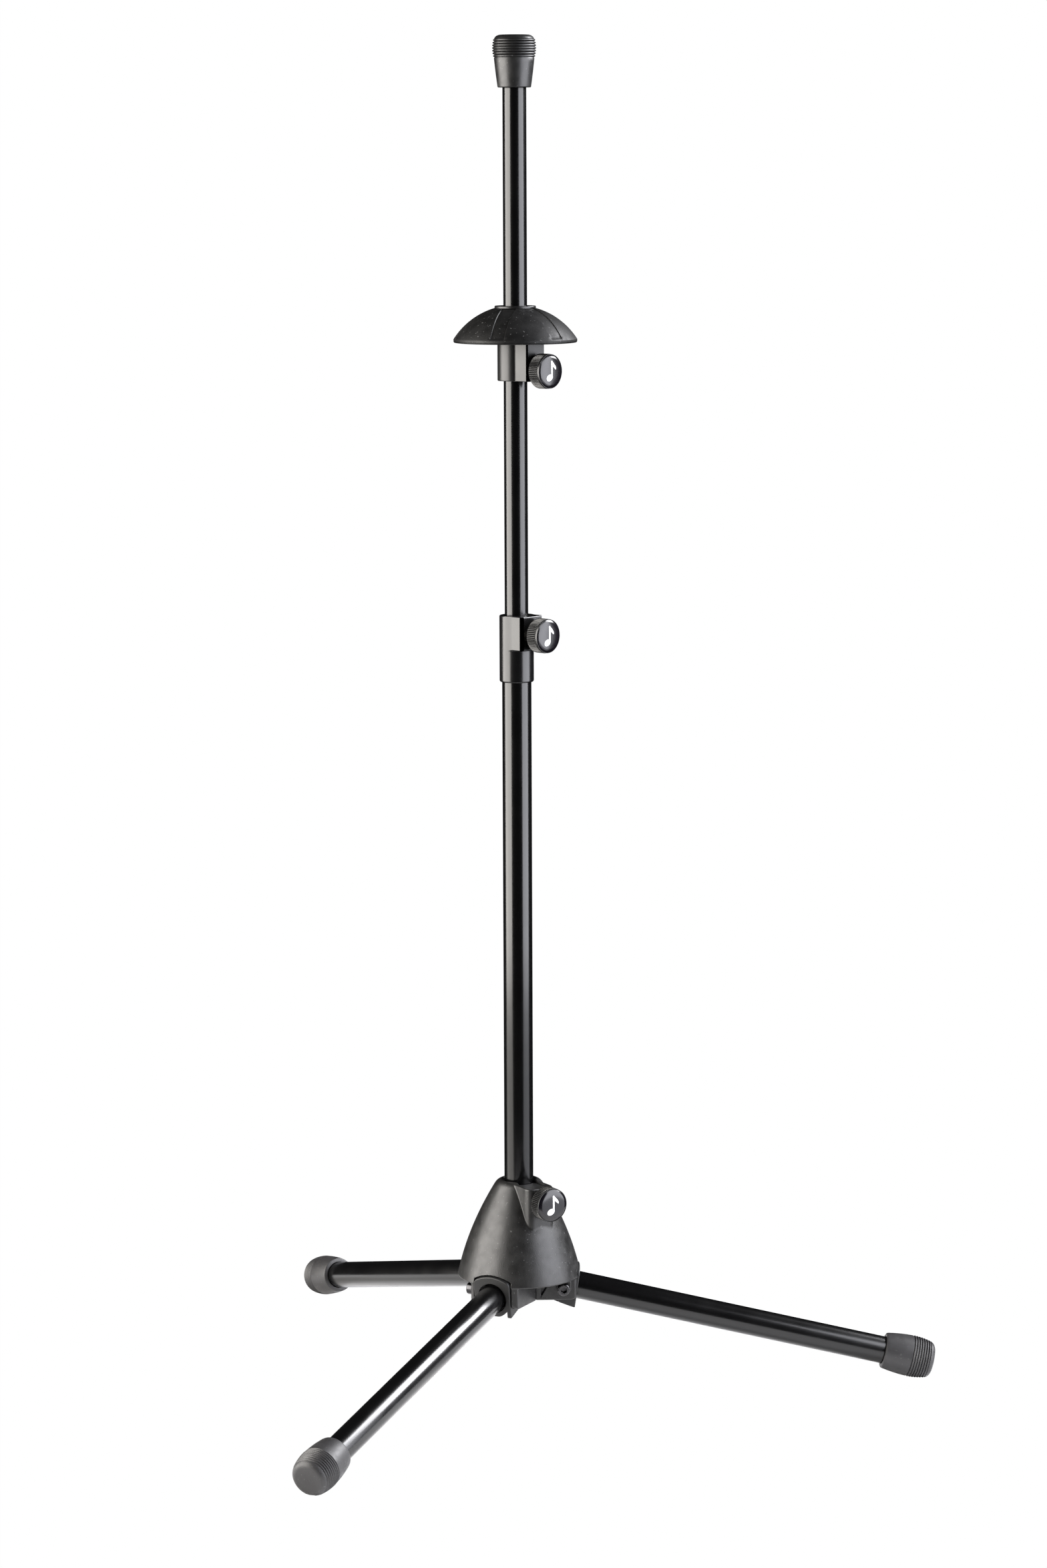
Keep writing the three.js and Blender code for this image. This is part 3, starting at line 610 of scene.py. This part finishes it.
def knob(name):
    """A clamp's knurled ring, its crowned face with a note on it, and its stud."""
    place, face, body = clamp_place(name), KNOB_FACES[name], f"{name}_knob"
    back = face - KNOB_LENGTH
    seated = place @ Matrix.Translation((back * MM, 0, 0)) @ ON_X
    ring = make(f"{name}_grip", *knob_ring(), seated, KNOB_PLASTIC)
    show(ring, body, "knob_plastic", f"{name}_knob")
    front, seat = KNOB_LENGTH, KNOB_LENGTH - KNOB_CROWN - KNOB_RECESS + GAP
    crown = [(KNOB_CAP_R, front - 1.35), (10.35, front - 0.9), (9.7, front - 0.55), (8.6, front - 0.32)]
    crown += [(6, front - 0.12), (3, front - 0.03), (0.0, front)]
    outline = [(0.0, seat), (KNOB_CAP_R, seat), *crown]
    disc = make(f"{name}_face", *turned(outline, 96), seated, CAP_PLASTIC)
    show(disc, body, "cap_plastic", f"{name}_knob_cap")
    tip, neck, end = STUD_TIPS[name], BLOCK_FACES[name] + 1.4, back + 6
    steps = [(0.0, tip), (STUD_R, tip, 0.5), (STUD_R, neck), (KNOB_NECK_R, neck, 0.3)]
    steps += [(KNOB_NECK_R, back - GAP, 0.2), (STUD_R, back - GAP), (STUD_R, end, 0.3), (0.0, end)]
    stud = make(f"{name}_stud", *turned(eased(steps, 2), 64), place @ ON_X, ZINC)
    show(stud, body, "zinc_steel", f"{name}_knob_stud")
    mark(name, body, place, face)


def mark(name, body, place, face):
    """A thin white eighth note on the knob's face, following its crown."""
    points, faces = [], []
    for strip in eighth_note():
        first = len(points)
        for left, right in strip:
            for lift, (u, v) in ((-0.2, left), (-0.2, right), (0.06, right), (0.06, left)):
                points.append((face - 0.0034 * (u * u + v * v) + lift, u, v))
        for i in range(first, len(points) - 4, 4):
            faces += [[i + k, i + (k + 1) % 4, i + 4 + (k + 1) % 4, i + 4 + k] for k in range(4)]
        faces += [[first + 3, first + 2, first + 1, first], [len(points) - 4 + k for k in range(4)]]
    piece = make(f"{name}_note", points, faces, place, WHITE_PRINT)
    show(piece, body, "nylon")


# ---- mast, collar, upper tube ----
def collar_field(x, y, z):
    """A barrel with a clamp block, bored for the mast below and the upper tube above."""
    low, high = height("collar")
    r = np.hypot(x, y)
    out, side = turned_xy(x, y, ROD_CLAMP_TURN)
    barrel = both(both(r - COLLAR_R, low - z, 1.4), z - high, 0.9)
    block = both(both(np.abs(side) - COLLAR_HALF, out - COLLAR_FACE, 0.8), z - high, 0.7)
    block = both(np.maximum(block, -out), COLLAR_BLOCK_Z - z, 0.8)
    body = either(barrel, block, 0.9)
    bore = np.where(z < height("mast_tube")[1] + 5.4, r - MAST_R - GAP, r - UPPER_R - GAP)
    body = without(body, bore, 0.4)
    hole = np.hypot(side, z - JOINTS["collar_knob_turn"]["pos_m"][2] / MM)
    body = without(body, np.maximum(hole - STUD_R - 0.2, STUD_BORE_FROM - out), 0.2)
    return without(body, np.maximum(hole - SEAT_R, COLLAR_SEAT - out), 0.4)


def rods():
    low, high = height("mast_tube")
    piece = tube("mast_bar", MAST_R - MAST_WALL, MAST_R, low, high, ROD, GLOSS_PAINT)
    show(piece, "mast", "gloss_paint", "mast_tube")
    low, high = height("upper_tube")
    piece = tube("upper_bar", UPPER_R - UPPER_WALL, UPPER_R, low, high, ROD, GLOSS_PAINT)
    show(piece, "upper", "gloss_paint", "upper_tube")
    low, high = height("mast_end_plug")
    flange = [(0.0, low), (11.4, low, 0.5), (12, low + 0.9, 0.3), (12, low + 3, 0.3)]
    spigot = [(MAST_R - MAST_WALL - GAP, low + 3), (MAST_R - MAST_WALL - GAP, high, 0.5), (0.0, high)]
    piece = make("mast_stop", *turned(eased(flange + spigot)), ROD, JOINT_PLASTIC)
    show(piece, "mast", "joint_plastic", "mast_end_plug")
    low, high = height("collar")
    points, faces, normals = skin(collar_field, (-13, -17, low - 1), (17, 13, high + 1), 0.4)
    piece = make("collar_casting", points, faces, ROD, SATIN_PAINT, normals)
    show(piece, "mast", "satin_paint", "collar")


def top_cap():
    low, high = height("top_cap")
    inner, roof = UPPER_R + GAP, height("upper_tube")[1] + GAP
    outline = [(0.0, roof), (inner, roof), (inner, low), (10.9, low), (11.25, low + 0.35)]
    outline += bow((11.3, low + 0.8), (13.55, low + 19.2), 0.1, 6)
    outline += ringed(low + 19.9, 0.95, lambda t: 14.75 - 0.6 * (2 * t - 1) ** 2)
    outline += [(13.4, high - 2.5), (12.7, high - 1.4), (11.6, high - 0.55)]
    outline += [(10.2, high - 0.08), (9.2, high), (0.0, high)]
    piece = make("top_cap_moulding", *turned(outline, 128), ROD, TOP_RUBBER)
    show(piece, "upper", "grey_rubber", "top_cap")


# ---- bell rest ----
def sleeve_field(x, y, z):
    """A barrel with a lip on top and a clamp block below the dome."""
    low, high = height("bell_sleeve")
    r = np.hypot(x, y)
    out, side = turned_xy(x, y, ROD_CLAMP_TURN)
    barrel = both(both(r - SLEEVE_R, low - z, 0.7), z - high, 0.6)
    lip = both(both(r - SLEEVE_LIP_R, z - high, 0.7), high - SLEEVE_LIP - z, 0.6)
    block = both(both(np.abs(side) - SLEEVE_HALF, out - SLEEVE_FACE, 0.8), z - SLEEVE_BLOCK_TOP, 0.7)
    block = both(np.maximum(block, -out), low - z, 0.6)
    body = np.minimum(either(barrel, block, 0.6), lip)
    body = without(body, r - UPPER_R - GAP, 0.5)
    hole = np.hypot(side, z - JOINTS["bell_knob_turn"]["pos_m"][2] / MM)
    body = without(body, np.maximum(hole - STUD_R - 0.2, STUD_BORE_FROM - out), 0.2)
    return without(body, np.maximum(hole - SEAT_R, SLEEVE_SEAT - out), 0.4)


def dome():
    """A shallow rubber dome. Six shallow bands run down it and keep their width from the lip to the rim,
    so every row of points is spaced to put its own points on the bands' edges. A row holds its radius, its
    height and how far the bands are let in there, from 0 to 1."""
    low = height("bell_dome")[0]
    top = height("bell_sleeve")[1] - SLEEVE_LIP - GAP
    hole, shell = SLEEVE_R + GAP, DOME_SPHERE_R - DOME_SHELL
    rim_angle = math.acos(DOME_R / DOME_SPHERE_R)
    lip_angle = math.acos(14.2 / DOME_SPHERE_R)
    rows = []
    for angle in np.linspace(math.acos(DOME_NECK_R / shell), math.acos(38.3 / shell), 16):
        rows.append((shell * math.cos(angle), DOME_CENTRE_Z + shell * math.sin(angle), 0))
    brink = DOME_CENTRE_Z + DOME_SPHERE_R * math.sin(rim_angle)
    rim = [(38.3, low + 0.8, 0.6), (38.6, low, 0.5), (DOME_R, low, 1.2), (DOME_R, brink - 0.8, 0.7)]
    rim = eased([(38.0, low + 3), *rim, (DOME_R, brink)], 4)[1:-1]
    rows += [(r, z, 0) for r, z in rim]
    for i in range(41):
        t = i / 40
        angle = rim_angle + (lip_angle - rim_angle) * t
        sunk = min(1, max(0, (t - 0.03) / 0.03))
        z = DOME_CENTRE_Z + DOME_SPHERE_R * math.sin(angle)
        rows.append((DOME_SPHERE_R * math.cos(angle), z, sunk))
    under = SLEEVE_BLOCK_TOP + GAP
    rows += [(14.0, top, 0), (hole, top, 0), (hole, under, 0), (DOME_NECK_R, under, 0)]
    sector = 2 * math.pi / DOME_BANDS
    points, faces = [], []
    for r, z, sunk in rows:
        half = math.asin(min(0.98, DOME_BAND_WIDTH / 2 / max(r, 14)))
        edge = min(0.35 / r, (sector / 2 - half) / 4)
        bed = np.linspace(-half, half, 7)
        wall = [half + edge * f for f in (0.25, 0.5, 0.75, 1.0)]
        panel = np.linspace(wall[-1], sector - wall[-1], 15)[1:-1]
        angles = [(a, 1) for a in bed]
        angles += [(a, d) for a, d in zip(wall, (0.85, 0.5, 0.15, 0))]
        angles += [(a, 0) for a in panel]
        angles += [(sector - a, d) for a, d in zip(wall[::-1], (0, 0.15, 0.5, 0.85))]
        for k in range(DOME_BANDS):
            middle = math.radians(DOME_BAND_TURN) + k * sector
            for a, depth in angles:
                drop = depth * sunk * DOME_BAND_DEPTH
                c = r - drop * r / DOME_SPHERE_R
                level = z - drop * (z - DOME_CENTRE_Z) / DOME_SPHERE_R
                points.append((c * math.cos(middle + a), c * math.sin(middle + a), level))
    count = len(points) // len(rows)
    for j in range(len(rows)):
        k = (j + 1) % len(rows)
        for i in range(count):
            n = (i + 1) % count
            faces.append([j * count + i, j * count + n, k * count + n, k * count + i])
    piece = make("bell_dome_moulding", points, faces, ROD, DOME_RUBBER)
    show(piece, "bell_rest", "dome_rubber", "bell_dome")


def bell_rest():
    low, high = height("bell_sleeve")
    points, faces, normals = skin(sleeve_field, (-15, -19, low - 1), (19, 15, high + 1), 0.4)
    piece = make("bell_sleeve_casting", points, faces, ROD, SLEEVE_PAINT, normals)
    show(piece, "bell_rest", "satin_paint", "bell_sleeve")
    dome()


# ---- hidden CAD pieces keep their shape ----
def hidden_pieces():
    """Gives each CAD piece that stays in the model the material of its kind."""
    looks = {"insert": BRASS, "nut": BLACK_STEEL, "shoe": NYLON, "bush": NYLON, "guide": JOINT_PLASTIC}
    for name, node in frame["nodes"].items():
        for word, look in looks.items():
            if word in name:
                node.data.materials.clear()
                node.data.materials.append(look)


# ---- stage ----
def panel_light(name, size, power, place, aim, colour):
    data = bpy.data.lights.new(name, "AREA")
    data.shape = "RECTANGLE"
    data.size, data.size_y = size
    data.energy = power
    data.color = colour
    made = bpy.data.objects.new(name, data)
    made.location = place
    made.rotation_euler = (Vector(aim) - Vector(place)).to_track_quat("-Z", "Y").to_euler()
    bpy.context.scene.collection.objects.link(made)


def stage():
    """A white backdrop that only the camera sees, a small floor that only lights the stand, and five
    panels of light."""
    white, _, _ = material("floor_white", (0.82, 0.82, 0.82), 0.7, gloss=0.1)
    outline = [(0.0, FLOOR_LOW), (FLOOR_R, FLOOR_LOW), (FLOOR_R, FLOOR_TOP), (0.0, FLOOR_TOP)]
    floor = make("floor", *turned(outline, 96), ROD, white)
    floor.visible_camera = False
    glow, _, shader = material("backdrop_white", (0, 0, 0), 1)
    shader.inputs["Emission Color"].default_value = (1, 1, 1, 1)
    shader.inputs["Emission Strength"].default_value = 1.0
    around = [(BACKDROP_R * math.cos(a), BACKDROP_R * math.sin(a)) for a in np.linspace(-1.45, 1.45, 13)]
    outline = [(0.0, -BACKDROP_R), *around, (0.0, BACKDROP_R)]
    backdrop = make("backdrop", *turned(outline, 48), Matrix.Identity(4), glow)
    for kind in ("diffuse", "glossy", "transmission", "shadow", "volume_scatter"):
        setattr(backdrop, f"visible_{kind}", False)
    world = bpy.data.worlds.new("studio")
    world.use_nodes = True
    world.node_tree.nodes["Background"].inputs["Color"].default_value = (0.012, 0.012, 0.013, 1)
    bpy.context.scene.world = world
    turn = Matrix.Rotation(math.radians(CAMERA_TURN), 3, "Z")
    centre = ROD.translation + Vector((0, 0, 0.5))

    def at(degrees, distance, z):
        """A place round the stand; degrees count from the camera's side, positive to the right."""
        a = math.radians(degrees)
        return centre + turn @ Vector((math.sin(a) * distance, -math.cos(a) * distance, z - centre.z))

    warm, cool, plain = (1.0, 0.965, 0.92), (0.93, 0.94, 1.0), (0.97, 0.97, 1.0)
    waist = centre + Vector((0, 0, 0.4))
    panel_light("left_panel", (1.96, 2.1), 129, at(-75, 1.7, 0.95), waist, warm)
    panel_light("left_low_panel", (1.96, 0.6), 9, at(-75, 1.7, -0.4), waist, warm)
    panel_light("right_panel", (1.73, 2.1), 80, at(68, 1.7, 0.95), waist, cool)
    panel_light("right_low_panel", (1.73, 0.6), 6, at(68, 1.7, -0.4), waist, cool)
    panel_light("far_panel", (2.0, 2.3), 430, at(113, 4.0, 3.0), centre - Vector((0, 0, 0.2)), plain)


def camera():
    """The photograph's camera; pan and roll are small, and the picture keeps the frame's own size."""
    data = bpy.data.cameras.new("camera")
    data.lens = CAMERA_LENS
    data.sensor_width = 36
    data.clip_start, data.clip_end = 0.05, 60
    made = bpy.data.objects.new("camera", data)
    turn = Matrix.Rotation(math.radians(CAMERA_TURN), 3, "Z")
    tilt, pan, roll = (math.radians(a) for a in (CAMERA_TILT, CAMERA_PAN, CAMERA_ROLL))
    ahead = Vector((math.sin(pan) * math.cos(tilt), math.cos(pan) * math.cos(tilt), -math.sin(tilt)))
    right = Vector((math.cos(pan), -math.sin(pan), 0))
    up = right.cross(ahead)
    across = right * math.cos(roll) + up * math.sin(roll)
    axes = [across, up * math.cos(roll) - right * math.sin(roll), -ahead]
    spin = Matrix([turn @ axis for axis in axes]).transposed()
    place = ROD.translation + turn @ Vector((0, -CAMERA_DISTANCE, CAMERA_HEIGHT))
    made.matrix_world = Matrix.Translation(place) @ spin.to_4x4()
    bpy.context.scene.collection.objects.link(made)
    bpy.context.scene.camera = made
    bpy.context.scene.view_settings.view_transform = "Standard"


camera()
hub()
legs()
rods()
top_cap()
bell_rest()
for clamp in ("hub", "collar", "bell"):
    knob(clamp)
hidden_pieces()
stage()
